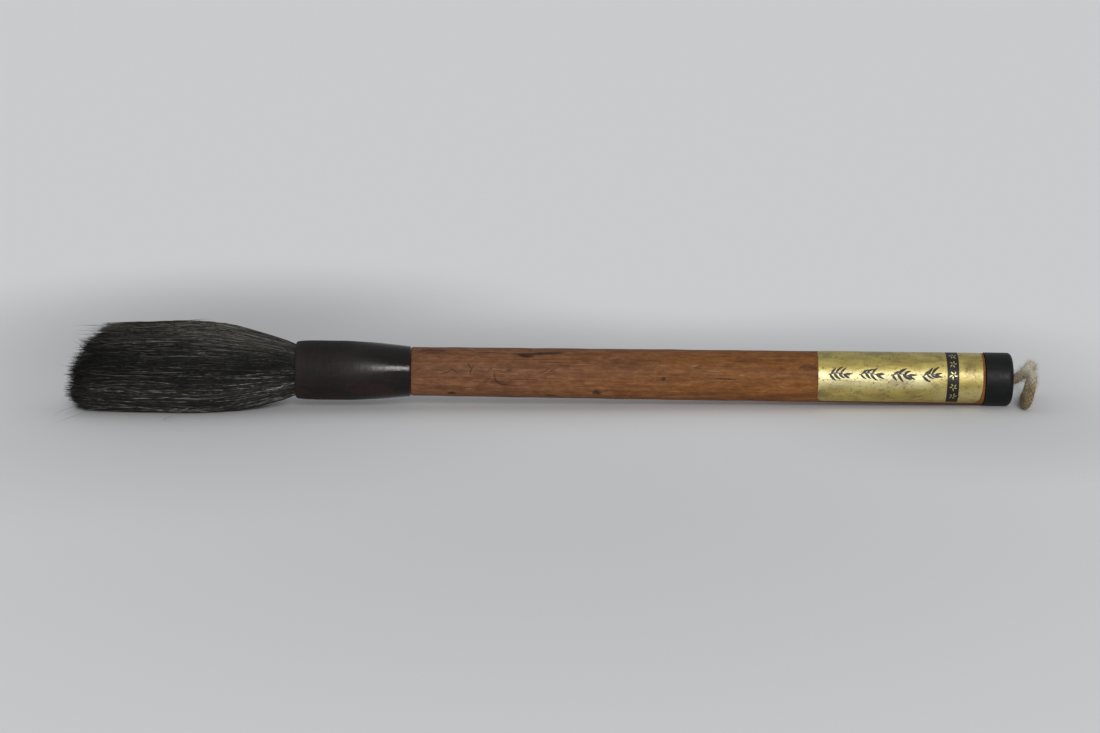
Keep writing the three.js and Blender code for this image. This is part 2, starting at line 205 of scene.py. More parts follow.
class Look:
    """A material made of nodes, with short names for what the materials here need."""

    def __init__(self, name, **constants):
        self.material = bpy.data.materials.new(name)
        self.material.use_nodes = True
        self.tree = self.material.node_tree
        self.shader = self.tree.nodes["Principled BSDF"]
        for socket, value in constants.items():
            self.shader.inputs[socket.replace("_", " ")].default_value = value

    def node(self, kind, inputs, **settings):
        made = self.tree.nodes.new(kind)
        for key, value in settings.items():
            setattr(made, key, value)
        for key, value in inputs.items():
            self.feed(made.inputs[key], value)
        return made

    def feed(self, socket, value):
        if isinstance(value, bpy.types.NodeSocket):
            self.tree.links.new(value, socket)
        else:
            socket.default_value = value

    def attribute(self, name):
        return self.node("ShaderNodeAttribute", {}, attribute_name=name)

    def vector(self, operation, a, b=None, output=0):
        inputs = {0: a} if b is None else {0: a, 1: b}
        return self.node("ShaderNodeVectorMath", inputs, operation=operation).outputs[output]

    def scaled(self, colour, by):
        inputs = {0: colour, "Scale": by}
        return self.node("ShaderNodeVectorMath", inputs, operation="SCALE").outputs[0]

    def place(self, scale=(1, 1, 1)):
        """The point's place in the brush's frame, in millimetres, times a scale for each axis."""
        return self.vector("MULTIPLY", self.attribute("place").outputs["Vector"], scale)

    def axes(self):
        """The point's x, y and z in the brush's frame, in millimetres."""
        return self.node("ShaderNodeSeparateXYZ", {0: self.place()}).outputs

    def math(self, operation, a, b=0.0):
        return self.node("ShaderNodeMath", {0: a, 1: b}, operation=operation).outputs[0]

    def times(self, a, b):
        return self.math("MULTIPLY", a, b)

    def plus(self, a, b):
        return self.math("ADD", a, b)

    def noise(self, scale, size, detail=3, rough=0.55, twist=0):
        """Noise over the brush's frame: scale is how often it repeats along each axis, per millimetre."""
        inputs = {"Vector": self.place(scale), "Scale": size, "Detail": detail, "Roughness": rough}
        inputs["Distortion"] = twist
        return self.node("ShaderNodeTexNoise", inputs).outputs["Fac"]

    def step(self, value, low, high, to_low=0.0, to_high=1.0):
        """Goes smoothly from one number to another as a value goes from low to high."""
        inputs = {"Value": value, "From Min": low, "From Max": high, "To Min": to_low, "To Max": to_high}
        return self.node("ShaderNodeMapRange", inputs, interpolation_type="SMOOTHSTEP").outputs[0]

    def mix(self, factor, a, b):
        made = self.node("ShaderNodeMix", {}, data_type="RGBA")
        self.feed(made.inputs[0], factor)
        self.feed(made.inputs[6], a if isinstance(a, bpy.types.NodeSocket) else (*a, 1))
        self.feed(made.inputs[7], b if isinstance(b, bpy.types.NodeSocket) else (*b, 1))
        return made.outputs[2]

    def ramp(self, value, stops):
        made = self.node("ShaderNodeValToRGB", {0: value})
        elements = made.color_ramp.elements
        while len(elements) < len(stops):
            elements.new(0.5)
        for element, (position, colour) in zip(elements, stops):
            element.position = position
            element.color = (*colour, 1)
        return made.outputs[0]

    def spot(self, x, angle, radius, size, turn=0, ragged=0.35, soft=0.35):
        """1 inside a ragged oval on the brush's surface, and 0 outside it.

        The oval is centred on x and an angle round the brush, size is its half length and half height in
        millimetres, and turn leans it, in degrees."""
        around = math.radians(angle)
        centre = (x, -radius * math.cos(around), radius * math.sin(around))
        along, across = (math.cos(math.radians(turn)), math.sin(math.radians(turn)))
        tangent = (0, math.sin(around), math.cos(around))
        first = np.array((along, across * tangent[1], across * tangent[2])) / size[0]
        second = np.array((-across, along * tangent[1], along * tangent[2])) / size[1]
        depth = np.array((0, -math.cos(around), math.sin(around))) / (3 * max(size[1], 1.0))
        offset = self.vector("SUBTRACT", self.place(), centre)
        parts = [self.vector("DOT_PRODUCT", offset, tuple(v), "Value") for v in (first, second, depth)]
        combined = self.node("ShaderNodeCombineXYZ", dict(enumerate(parts))).outputs[0]
        away = self.vector("LENGTH", combined, output="Value")
        wobble = self.step(self.noise((1, 1, 1), 1.1 / max(size[1], 0.6), 4, 0.65), 0, 1, -ragged, ragged)
        return self.step(self.plus(away, wobble), 1 - soft, 1 + soft, 1, 0)

    def marks(self, colour, paint, radius, rows, ragged=0.35, soft=0.35):
        """Paints spots over a colour. A row is a spot's x, angle, size and turn, and its strength."""
        for x, angle, size, turn, strength in rows:
            spot = self.spot(x, angle, radius, size, turn, ragged, soft)
            colour = self.mix(self.times(spot, strength), colour, paint)
        return colour

    def finish(self, colour, roughness=None, *bumps):
        """Feeds the shader. Each bump is a height, its strength and its depth in metres, over the last."""
        self.feed(self.shader.inputs["Base Color"], colour)
        if roughness is not None:
            self.feed(self.shader.inputs["Roughness"], roughness)
        under = {}
        for height, strength, depth in bumps:
            inputs = {"Height": height, "Strength": strength, "Distance": depth, **under}
            under = {"Normal": self.node("ShaderNodeBump", inputs).outputs[0]}
            self.feed(self.shader.inputs["Normal"], under["Normal"])
        return self.material


def floor_look():
    """A pale board, with painted shadows that make it a little darker round the brush."""
    look = Look("floor", Roughness=0.95, Specular_IOR_Level=0.1)
    where = look.node("ShaderNodeNewGeometry", {}).outputs["Position"]
    colour = (0.93, 0.93, 0.935)
    # Painted shadows, where it is a little darker round the brush: a middle, how far that reaches, and how dark it
    # is.
    patches = [((0, -0.17, 0), 0.43, 0.17), ((-0.16, -0.01, 0), 0.20, 0.19)]
    patches += [((0.19, -0.03, 0), 0.12, 0.16), ((-0.15, 0.15, 0), 0.20, 0.40)]
    patches += [((0.01, 0.08, 0), 0.14, 0.30), ((0.15, 0.08, 0), 0.14, 0.26)]
    for centre, reach, depth in patches:
        away = look.vector("DISTANCE", where, centre, "Value")
        colour = look.mix(look.step(away, 0.01, reach, depth, 0), colour, (0.03, 0.03, 0.04))
    return look.finish(colour)


def hair_look():
    """Dark hair: each strand has its own tone, and changes a little along its length."""
    look = Look("hair", Specular_IOR_Level=0.32, Anisotropic=0.5)
    tone = look.attribute("tone").outputs["Fac"]
    along = look.noise((0.2, 1.3, 1.3), 1, 4, 0.6)
    broken = look.step(along, 0.32, 0.68, -0.2, 0.2)
    warm = look.attribute("warm").outputs["Fac"]
    colour = look.ramp(
        look.plus(look.times(warm, 0.7), look.plus(tone, broken)),
        [
            (0.0, (0.0040, 0.0037, 0.0038)),
            (0.40, (0.0100, 0.0094, 0.0086)),
            (0.62, (0.026, 0.0245, 0.0215)),
            (0.82, (0.075, 0.071, 0.062)),
            (1.0, (0.23, 0.22, 0.195)),
        ],
    )
    colour = look.mix(look.times(warm, 0.4), colour, (0.125, 0.116, 0.080))
    # Painted light low down and painted shade on top, most of all near the lip.
    x, _, z = look.axes()
    lip_light_and_shade = look.times(look.step(x, -35, -5), look.step(z, -6, 5, 0.9, -0.25))
    painted_light_and_shade_by_height = look.plus(lip_light_and_shade, look.step(z, -8, 2, 1.75, 0.83))
    return look.finish(look.scaled(colour, painted_light_and_shade_by_height), look.step(along, 0.25, 0.75, 0.42, 0.6))


def root_look():
    look = Look("hair_root", Specular_IOR_Level=0.3)
    streaks = look.noise((0.25, 1, 1), 2.2, 5, 0.6)
    colour = look.ramp(streaks, [(0.3, (0.004, 0.0035, 0.003)), (0.7, (0.024, 0.02, 0.015))])
    return look.finish(colour, 0.6, (streaks, 0.6, 0.0004))


def thread_look():
    look = Look("thread", Sheen_Weight=0.3)
    fibres = look.noise((1, 1, 1), 5, 4, 0.6, 0.4)
    colour = look.ramp(fibres, [(0.3, (0.27, 0.19, 0.10)), (0.7, (0.50, 0.40, 0.25))])
    return look.finish(colour, 0.85, (fibres, 0.5, 0.0001))


def rosin_look():
    look = Look("rosin", Coat_Weight=0.4, Coat_Roughness=0.15)
    cloud = look.node("ShaderNodeTexNoise", {"Scale": 420, "Detail": 4}).outputs["Fac"]
    colour = look.ramp(cloud, [(0.3, (0.05, 0.016, 0.004)), (0.75, (0.16, 0.062, 0.016))])
    return look.finish(colour, look.step(cloud, 0.3, 0.7, 0.2, 0.45), (cloud, 0.3, 0.0003))


def horn_look():
    """Turned horn, polished and worn: brown-black, with redder patches, turning marks and scratches."""
    look = Look("socket_horn", Specular_IOR_Level=0.28)
    patches = look.noise((0.07, 0.13, 0.13), 1, 4, 0.6, 0.6)
    fibres = look.noise((0.05, 1.2, 1.2), 1, 4, 0.6)
    x, _, z = look.axes()
    low = look.step(z, -9, 5, 1, 0)
    redness = look.times(look.step(patches, 0.38, 0.62), look.plus(low, 0.25))
    colour = look.mix(redness, (0.0058, 0.0044, 0.0038), (0.018, 0.0082, 0.006))
    colour = look.mix(look.step(fibres, 0.5, 0.75, 0, 0.3), colour, (0.028, 0.016, 0.012))
    dust = look.step(x, 0.2, 5, 0.3, 0)
    colour = look.mix(dust, colour, (0.026, 0.020, 0.020))
    rings = look.noise((6, 0.05, 0.05), 1, 3, 0.7)
    scratches = look.noise((2.6, 0.22, 0.22), 1, 5, 0.75, 0.3)
    # It is dull in front and polished towards the rear.
    dull = look.plus(look.times(look.step(x, 12, 47), -0.6), 0.43)
    rough = look.plus(look.step(scratches, 0.35, 0.72, 0.24, 0.40), dull)
    bumps = [(rings, 0.28, 0.00006), (scratches, 0.4, 0.00012), (patches, 0.12, 0.0006)]
    return look.finish(colour, rough, *bumps)


def cap_look():
    look = Look("cap_horn", Specular_IOR_Level=0.17)
    rings = look.noise((7, 0.06, 0.06), 1, 3, 0.7)
    dust = look.noise((1, 1, 1), 0.6, 5, 0.7)
    colour = look.mix(look.step(dust, 0.5, 0.8, 0, 0.5), (0.0080, 0.0082, 0.0084), (0.026, 0.027, 0.028))
    rough = look.step(dust, 0.35, 0.7, 0.42, 0.56)
    return look.finish(colour, rough, (rings, 0.2, 0.00006), (dust, 0.2, 0.0001))


def bamboo_look():
    """Old stained bamboo: fine fibres along the handle, with knots, ink smudges, scratches and nicks."""
    look = Look("bamboo", Specular_IOR_Level=0.1)
    radius = HANDLE_FRONT_RADIUS + 0.3
    x, y, z = look.axes()
    fibres = look.noise((0.035, 1.6, 1.6), 1, 5, 0.7)
    fine = look.noise((0.14, 5, 5), 1, 3, 0.6)
    mottle = look.noise((0.22, 0.5, 0.5), 1, 5, 0.65, 0.6)
    cloud = look.noise((0.03, 0.11, 0.11), 1, 4, 0.6, 0.5)
    grain = look.times(look.plus(fibres, mottle), 0.5)
    front = look.ramp(
        grain, [(0.36, (0.115, 0.047, 0.022)), (0.5, (0.195, 0.084, 0.040)), (0.64, (0.280, 0.138, 0.068))]
    )
    rear = look.ramp(
        grain, [(0.36, (0.130, 0.045, 0.013)), (0.5, (0.232, 0.090, 0.026)), (0.64, (0.320, 0.145, 0.050))]
    )
    colour = look.mix(look.step(x, 70, 210), front, rear)
    colour = look.mix(look.step(cloud, 0.52, 0.72, 0, 0.45), colour, (0.105, 0.042, 0.018))
    colour = look.mix(look.step(fine, 0.45, 0.72, 0, 0.5), colour, (0.080, 0.034, 0.016))
    grime = look.noise((0.06, 0.35, 0.35), 1, 5, 0.7, 0.8)
    colour = look.mix(look.step(grime, 0.52, 0.74, 0, 0.6), colour, (0.060, 0.032, 0.022))
    stains = [
        (101, 62, (9, 0.5), 1, 0.8), (97, 56, (3.2, 0.9), -4, 0.8), (107, 67, (6, 0.9), 2, 0.6),
        (80, 66, (7, 0.35), 0, 0.5), (66, -46, (1.8, 0.9), 0, 0.8), (108, -50, (2.6, 0.7), -8, 0.7),
        (127, -37, (1.7, 1.3), 0, 0.75), (155, 3, (1.1, 0.8), 0, 0.7), (181, 5, (4.6, 0.22), -2, 0.9),
        (216, 33, (3.6, 1.5), 0, 0.5), (86, -16, (9, 2.6), -6, 0.16), (142, 40, (12, 2.2), 3, 0.3),
        (175, -32, (15, 1.2), 1, 0.3), (236, -30, (10, 3), 0, 0.25), (58, 70, (6, 2), 0, 0.45),
    ]
    colour = look.marks(colour, (0.016, 0.011, 0.012), radius, stains, 0.6)
    # Short thin scratches with ink in them near the front.
    scratches = [
        (51.4, 17, (1.7, 0.20), 24, 0.65), (60.2, 16, (2.6, 0.20), -9, 0.585),
        (64.4, 13, (2.1, 0.24), 20, 0.65), (67.0, 16, (1.6, 0.34), -28, 0.65),
        (69.6, 14, (2.2, 0.18), 12, 0.52), (73.4, 28, (1.5, 0.26), -58, 0.715),
        (74.2, 17, (2.1, 0.28), 72, 0.715), (78.6, 15, (2.4, 0.18), -16, 0.585),
        (82.0, 19, (1.5, 0.22), 38, 0.585), (85.6, 17, (2.4, 0.20), -6, 0.585),
        (89.8, 18, (2.0, 0.22), 30, 0.65), (97.0, -3, (7.5, 0.17), -1, 0.52),
        (104.6, 16, (2.8, 0.20), 26, 0.585), (108.2, 19, (2.2, 0.20), 34, 0.585),
        (133, 14, (5.0, 0.12), 4, 0.455),
    ]
    colour = look.marks(colour, (0.026, 0.016, 0.016), radius, scratches, 0.5)
    # A hooked line: part of a ring, drawn where x and the distance round the handle are its two axes.
    HOOK_X, HOOK_ROUND, HOOK_SIZE = 88.2, 1.2, 4.2
    round_ = look.times(look.math("ARCTAN2", z, look.times(y, -1)), radius)
    flat = look.node("ShaderNodeCombineXYZ", {0: x, 1: round_}).outputs[0]
    from_ring = look.plus(look.vector("DISTANCE", flat, (HOOK_X, HOOK_ROUND, 0), "Value"), -HOOK_SIZE)
    line = look.step(look.math("ABSOLUTE", from_ring), 0.2, 0.45, 1, 0)
    side = look.step(look.plus(look.times(x, 0.8), round_), 68.5, 70.5, 1, 0)
    colour = look.mix(look.times(look.times(line, side), 0.65), colour, (0.024, 0.016, 0.018))
    nicks = [(168, 34, (1.6, 0.3), 12), (176, 22, (2.6, 0.25), -5), (188, 14, (1.2, 0.4), 20)]
    nicks += [(134, 52, (2.2, 0.3), 6), (205, -12, (1.4, 0.3), -10), (73, -30, (1.2, 0.35), 15)]
    nicks = [(*nick, 0.5) for nick in nicks]
    colour = look.marks(colour, (0.36, 0.22, 0.11), radius, nicks)
    # Painted light below and painted shade on top: the colour is scaled up low down and down on top.
    colour = look.scaled(colour, look.step(z, -7, 8, 1.1, 0.86))
    rough = look.step(fibres, 0.3, 0.7, 0.45, 0.62)
    return look.finish(colour, rough, (fibres, 0.4, 0.00025), (fine, 0.3, 0.0001))


def foil_look():
    """Gold foil paper, soiled, darker where the foil has worn, with painted highlight bands."""
    look = Look("foil_paper", Metallic=0.92, Coat_Weight=0.9, Coat_Roughness=0.42, Coat_IOR=1.7)
    cloud = look.noise((0.09, 0.2, 0.2), 1, 5, 0.6, 0.7)
    flecks = look.noise((0.7, 0.9, 0.9), 1, 5, 0.72)
    crinkle = look.noise((1.3, 1.3, 1.3), 1, 4, 0.6, 0.6)
    colour = look.ramp(
        cloud, [(0.3, (0.33, 0.235, 0.045)), (0.5, (0.49, 0.385, 0.080)), (0.7, (0.62, 0.51, 0.13))]
    )
    # A broad pale band, a painted highlight where the lamp's reflection lies, which ends before the end cap.
    x, _, z = look.axes()
    painted_highlight_band = look.times(look.step(z, -4.5, 1, 0, 1), look.step(z, 1.5, 6.5, 1, 0))
    painted_highlight_band = look.times(painted_highlight_band, look.step(cloud, 0.3, 0.6, 0.5, 0.75))
    painted_highlight_band = look.times(painted_highlight_band, look.step(x, 262, 276, 1, 0))
    colour = look.mix(painted_highlight_band, colour, (0.84, 0.78, 0.45))
    # Beyond its end a fainter painted highlight runs lower down.
    low_painted_highlight = look.times(look.step(z, -9, -5.5, 0, 1), look.step(z, -3.5, -1, 1, 0))
    low_painted_highlight = look.times(low_painted_highlight, look.step(x, 262, 276, 0, 0.45))
    colour = look.mix(low_painted_highlight, colour, (0.84, 0.74, 0.36))
    colour = look.mix(look.step(flecks, 0.55, 0.68, 0, 0.9), colour, (0.11, 0.078, 0.026))
    stains = [(224, 66, (2.2, 1.2), 30), (237, -22, (1.6, 0.9), 0), (262, -32, (2.4, 0.8), 10)]
    stains += [(255, 8, (5, 2.4), 0), (271, 66, (2.6, 0.7), -50), (246, 80, (6, 1.6), 4)]
    stains += [(284, 36, (2, 3), 0), (222, -30, (4, 2), 0), (231, 5, (7, 0.25), -3)]
    stains = [(*stain, 0.45) for stain in stains]
    colour = look.marks(colour, (0.10, 0.07, 0.025), LABEL_TOP_RADIUS, stains, 0.9, 0.5)
    rough = look.step(crinkle, 0.3, 0.7, 0.48, 0.6)
    rough = look.plus(rough, look.step(flecks, 0.5, 0.75, 0, 0.2))
    return look.finish(colour, rough, (crinkle, 0.3, 0.00016), (cloud, 0.3, 0.0008))


def ink_look():
    look = Look("printed_ink", Specular_IOR_Level=0.4)
    wear = look.noise((1, 1, 1), 1.4, 5, 0.7)
    colour = look.mix(look.step(wear, 0.56, 0.8, 0, 0.6), (0.010, 0.009, 0.009), (0.06, 0.05, 0.03))
    return look.finish(colour, look.step(wear, 0.3, 0.7, 0.36, 0.6), (wear, 0.2, 0.00005))


def gold_print_look():
    look = Look("printed_gold", Metallic=0.85)
    wear = look.noise((1, 1, 1), 2.2, 5, 0.7)
    colour = look.mix(look.step(wear, 0.45, 0.75, 0, 0.8), (0.62, 0.54, 0.24), (0.16, 0.12, 0.05))
    return look.finish(colour, look.step(wear, 0.3, 0.7, 0.35, 0.55), (wear, 0.2, 0.00005))


def cotton_look(name, dark, light):
    look = Look(name, Sheen_Weight=0.12, Sheen_Roughness=0.5, Specular_IOR_Level=0.15)
    fibres = look.noise((1, 1, 1), 6, 4, 0.65, 0.5)
    soil = look.noise((1, 1, 1), 0.35, 4, 0.6)
    colour = look.ramp(fibres, [(0.3, dark), (0.7, light)])
    colour = look.mix(look.step(soil, 0.42, 0.7, 0, 0.6), colour, (0.13, 0.095, 0.05))
    # It is soiled low down, and lighter on top, partly from wear and partly painted light on the loop's crest,
    # where the braid shows less.
    z = look.axes()[2]
    colour = look.mix(look.step(z, -8, 1, 0.12, 0), colour, (0.105, 0.078, 0.042))
    # This mask is the light top: partly wear, partly painted light.
    worn = look.step(z, -1, 7, 0, 0.85)
    colour = look.mix(worn, colour, (0.74, 0.70, 0.57))
    # Painted shade in the braid's hollows, where yarns dip under each other, with less of it on the light top.
    valley = look.times(look.attribute("valley").outputs["Fac"], 0.85)
    valley = look.times(valley, look.plus(look.times(worn, -0.5), 1.0))
    colour = look.mix(valley, colour, (0.035, 0.024, 0.012))
    return look.finish(colour, 0.9, (fibres, 0.6, 0.00015))


# ---- meshes ----


def add_mesh(name, points, quads, triangles, material, fields=None, sharp=None):
    """A smooth-shaded mesh from points in the brush's frame. Fields are numbers that each point carries."""
    points = np.asarray(points, float)
    quads = np.asarray(quads, np.int64).reshape(-1, 4)
    triangles = np.asarray(triangles, np.int64).reshape(-1, 3)
    corners = np.concatenate([quads.ravel(), triangles.ravel()])
    starts = np.concatenate([np.arange(len(quads)) * 4, len(quads) * 4 + np.arange(len(triangles)) * 3])
    mesh = bpy.data.meshes.new(name)
    mesh.vertices.add(len(points))
    mesh.vertices.foreach_set("co", put(points).astype(np.float32).ravel())
    mesh.loops.add(len(corners))
    mesh.loops.foreach_set("vertex_index", corners.astype(np.int32))
    mesh.polygons.add(len(starts))
    mesh.polygons.foreach_set("loop_start", starts.astype(np.int32))
    mesh.polygons.foreach_set("use_smooth", np.ones(len(starts), bool))
    mesh.update(calc_edges=True)
    if sharp is not None:
        mesh.set_sharp_from_angle(angle=math.radians(sharp))
    place = mesh.attributes.new("place", "FLOAT_VECTOR", "POINT")
    place.data.foreach_set("vector", points.astype(np.float32).ravel())
    for key, values in (fields or {}).items():
        field = mesh.attributes.new(key, "FLOAT", "POINT")
        field.data.foreach_set("value", np.asarray(values, np.float32).ravel())
    mesh.materials.append(material)
    return add_object(name, mesh)


def spline(knots, at):
    """A smooth curve through knots of (x, value), evaluated at the given x."""
    x, y = np.array(knots, float).T
    slope = np.gradient(y, x)
    i = np.clip(np.searchsorted(x, at) - 1, 0, len(x) - 2)
    h = x[i + 1] - x[i]
    t = np.clip((at - x[i]) / h, 0, 1)
    rise = (1 + 2 * t) * (1 - t) ** 2 * y[i] + t * t * (3 - 2 * t) * y[i + 1]
    return rise + h * t * (1 - t) * ((1 - t) * slope[i] - t * slope[i + 1])


def arc(centre_x, centre_radius, round_, start, stop, steps):
    """Part of a circle as (x, radius) points, without its first point."""
    angles = np.radians(np.linspace(start, stop, steps + 1)[1:])
    return [(centre_x + round_ * math.cos(a), centre_radius + round_ * math.sin(a)) for a in angles]


def densified(outline, longest):
    """The outline again, with no stretch longer than a length."""
    made = [outline[0]]
    for a, b in zip(outline, outline[1:]):
        count = max(1, math.ceil(math.dist(a, b) / longest))
        made += [tuple(np.array(a) + (np.array(b) - np.array(a)) * k / count) for k in range(1, count + 1)]
    return made


def ring_faces(rows, columns, closed_rows):
    """Quads between rows of points that each go round once."""
    row = np.arange(rows if closed_rows else rows - 1)
    i, j = np.meshgrid(row, np.arange(columns), indexing="ij")
    after, beside = (i + 1) % rows, (j + 1) % columns
    here, there = i * columns, after * columns
    return np.stack([here + j, here + beside, there + beside, there + j], -1).reshape(-1, 4)


def turned(name, outline, material, sides=160, longest=1.0, change=None, sharp=35):
    """A solid turned about the axis from an outline of (x, radius) points.

    The outline is a loop, or it runs from the axis to the axis. It goes from low x to high x on the
    outside. change takes x, the angle and the radius of every point, and returns the radius."""
    on_axis = outline[0][1] == 0
    outline = densified(outline if on_axis else [*outline, outline[0]], longest)
    rows = np.array(outline[1:-1] if on_axis else outline[:-1])
    angle = np.linspace(0, 2 * math.pi, sides, endpoint=False)
    x = np.repeat(rows[:, :1], sides, 1)
    radius = np.repeat(rows[:, 1:], sides, 1)
    around = np.repeat(angle[None], len(rows), 0)
    if change is not None:
        radius = change(x, np.degrees(around), radius)
    points = round_axis(x, around, radius).reshape(-1, 3)
    quads = ring_faces(len(rows), sides, not on_axis)
    triangles = np.zeros((0, 3), int)
    if on_axis:
        points = np.vstack([points, (outline[0][0], 0, 0), (outline[-1][0], 0, 0)])
        j = np.arange(sides)
        beside = (j + 1) % sides
        last = (len(rows) - 1) * sides
        start = np.stack([np.full(sides, len(points) - 2), beside, j], -1)
        stop = np.stack([np.full(sides, len(points) - 1), last + j, last + beside], -1)
        triangles = np.vstack([start, stop])
    return add_mesh(name, points, quads, triangles, material, sharp=sharp)


def ripple(x, angle, seed, waves, amplitude):
    """A gentle unevenness over a turned surface, the same on each run."""
    random = np.random.default_rng(seed)
    total = np.zeros(np.shape(x))
    for _ in range(waves):
        pitch = random.uniform(0.01, 0.09)
        turns = random.integers(0, 4)
        phase = random.uniform(0, 2 * math.pi, 2)
        total += np.sin(x * 2 * math.pi * pitch + phase[0]) * np.cos(np.radians(angle) * turns + phase[1])
    return amplitude * total / math.sqrt(waves)


def grooved(depths, fade):
    """A change for turned() that lets each column of it in or out by a share of the radius."""

    def change(x, angle, radius):
        column = np.round(angle / 360 * len(depths)).astype(int) % len(depths)
        return radius * (1 + depths[column] * fade(x))

    return change


# ---- tubes: yarns and strands ----


def unit(vectors):
    return vectors / np.maximum(np.linalg.norm(vectors, axis=-1, keepdims=True), 1e-12)


def between(a, b, u, start, stop):
    """On the line through a and b, where u lies as u goes from start to stop."""
    return a + (b - a) * (u - start) / (stop - start)


def rounded_path(points, step):
    """A smooth curve through points, as points that are about a step apart, by centripetal splines."""
    p = np.asarray(points, float)
    p = np.vstack([2 * p[0] - p[1], p, 2 * p[-1] - p[-2]])
    made = []
    for i in range(1, len(p) - 2):
        a, b, c, d = p[i - 1 : i + 3]
        t = np.cumsum([0, *(np.linalg.norm(e) ** 0.5 for e in (b - a, c - b, d - c))])
        for u in np.linspace(t[1], t[2], 24, endpoint=False):
            ab = between(a, b, u, t[0], t[1])
            bc = between(b, c, u, t[1], t[2])
            cd = between(c, d, u, t[2], t[3])
            first = between(ab, bc, u, t[0], t[2])
            second = between(bc, cd, u, t[1], t[3])
            made.append(between(first, second, u, t[1], t[2]))
    made.append(p[-2])
    return spaced(np.array(made), step)


def spaced(line, step):
    """The line again, with points a step apart."""
    along = np.concatenate([[0], np.cumsum(np.linalg.norm(np.diff(line, axis=0), axis=1))])
    at = np.linspace(0, along[-1], max(3, round(along[-1] / step) + 1))
    return np.stack([np.interp(at, along, line[:, k]) for k in range(3)], 1)


def frames_along(line):
    """Two directions square to a line at each of its points, which don't twist about it."""
    tangent = unit(np.gradient(line, axis=0))
    start = np.cross(tangent[0], (0, 0, 1.0))
    if np.linalg.norm(start) < 0.1:
        start = np.cross(tangent[0], (0, 1.0, 0))
    first = [unit(start)]
    for t in tangent[1:]:
        first.append(unit(first[-1] - t * np.dot(first[-1], t)))
    first = np.array(first)
    return first, np.cross(tangent, first)


def tubes(lines, wide, thick, outward, sides):
    """Closed tubes with an oval section: lines is tubes by points by 3.

    wide and thick are half sizes that broadcast over the points, and outward is the way that the thin
    side of the section faces."""
    count, steps = lines.shape[:2]
    tangent = unit(np.gradient(lines, axis=1))
    across = unit(np.cross(tangent, outward))
    up = np.cross(across, tangent)
    angle = np.linspace(0, 2 * math.pi, sides, endpoint=False)
    wide = np.broadcast_to(wide, (count, steps))[..., None, None]
    thick = np.broadcast_to(thick, (count, steps))[..., None, None]
    section = across[:, :, None] * np.cos(angle)[:, None] * wide
    section = section + up[:, :, None] * np.sin(angle)[:, None] * thick
    points = (lines[:, :, None] + section).reshape(-1, 3)
    base = (np.arange(count) * steps * sides)[:, None, None]
    quads = (ring_faces(steps, sides, False)[None] + base).reshape(-1, 4)
    quads = quads[:, ::-1]
    fan = np.array([(0, k, k + 1) for k in range(1, sides - 1)])
    last = fan[:, ::-1] + (steps - 1) * sides
    triangles = (np.vstack([fan, last])[None] + base).reshape(-1, 3)
    triangles = triangles[:, ::-1]
    return points, quads, triangles


def join(*parts):
    """Several (points, quads, triangles) as one."""
    counts = np.cumsum([0] + [len(p[0]) for p in parts])
    points = np.vstack([p[0] for p in parts])
    quads = np.vstack([np.reshape(p[1], (-1, 4)) + n for p, n in zip(parts, counts)])
    triangles = np.vstack([np.reshape(p[2], (-1, 3)) + n for p, n in zip(parts, counts)])
    return points, quads, triangles


BRAID_YARNS = 5  # each way round
BRAID_TURN = 0.62  # radians for each millimetre
YARN_OUT, YARN_WAVE = 1.12, 0.2  # how far a yarn lies from the cord's middle, and how much that changes
YARN_WIDE, YARN_THICK = 0.5, 0.28
YARN_SIDES = 8
CORE_RADIUS = 1.0


def braid(line):
    """A braided cord along a line of points: yarns that cross over and under each other round a core.

    Returns its mesh, and how deep in the braid each point lies, from 0 to 1."""
    along = np.concatenate([[0], np.cumsum(np.linalg.norm(np.diff(line, axis=0), axis=1))])
    first, second = frames_along(line)
    lines, outward, depths = [], [], []
    for way in (1, -1):
        for yarn in range(BRAID_YARNS):
            around = 2 * math.pi * yarn / BRAID_YARNS + way * BRAID_TURN * along
            over = way * np.cos(BRAID_YARNS * BRAID_TURN * along)
            out = first * np.cos(around)[:, None] + second * np.sin(around)[:, None]
            lines.append(line + out * (YARN_OUT + YARN_WAVE * over)[:, None])
            outward.append(out)
            depths.append(np.repeat(0.5 - 0.5 * over, YARN_SIDES))
    yarns = tubes(np.array(lines), YARN_WIDE, YARN_THICK, np.array(outward), YARN_SIDES)
    core = tubes(line[None], CORE_RADIUS, CORE_RADIUS, second[None], 12)
    return join(yarns, core), np.concatenate([*depths, np.ones(len(core[0]))])


# ---- the hanging cord ----


def cord_line():
    """The free cord's middle, from the end cap's face round to the face again."""

    def half(way):
        lean = [0] + [LOOP_LEAN] * (len(LOOP_ROUTE) - 1)
        points = zip(LOOP_ROUTE, lean)
        return [(CAP_REAR + out + k * way * side, way * side, up) for (out, side, up), k in points]

    near = half(-1)
    far = half(1)[-2::-1]
    ends = [(CAP_REAR, -STRAND_OFFSET, 0), (CAP_REAR, STRAND_OFFSET, 0)]
    return rounded_path([ends[0], *near, *far, ends[1]], 0.3)


def lengthened(line, by):
    """The line with a straight piece at each end, which runs into the end cap's hole."""
    count = max(2, round(by / 0.3))
    back = np.array((-1.0, 0, 0))
    reach = np.linspace(by, by / count, count)[:, None]
    return np.vstack([line[0] + back * reach, line, line[-1] + back * reach[::-1]])


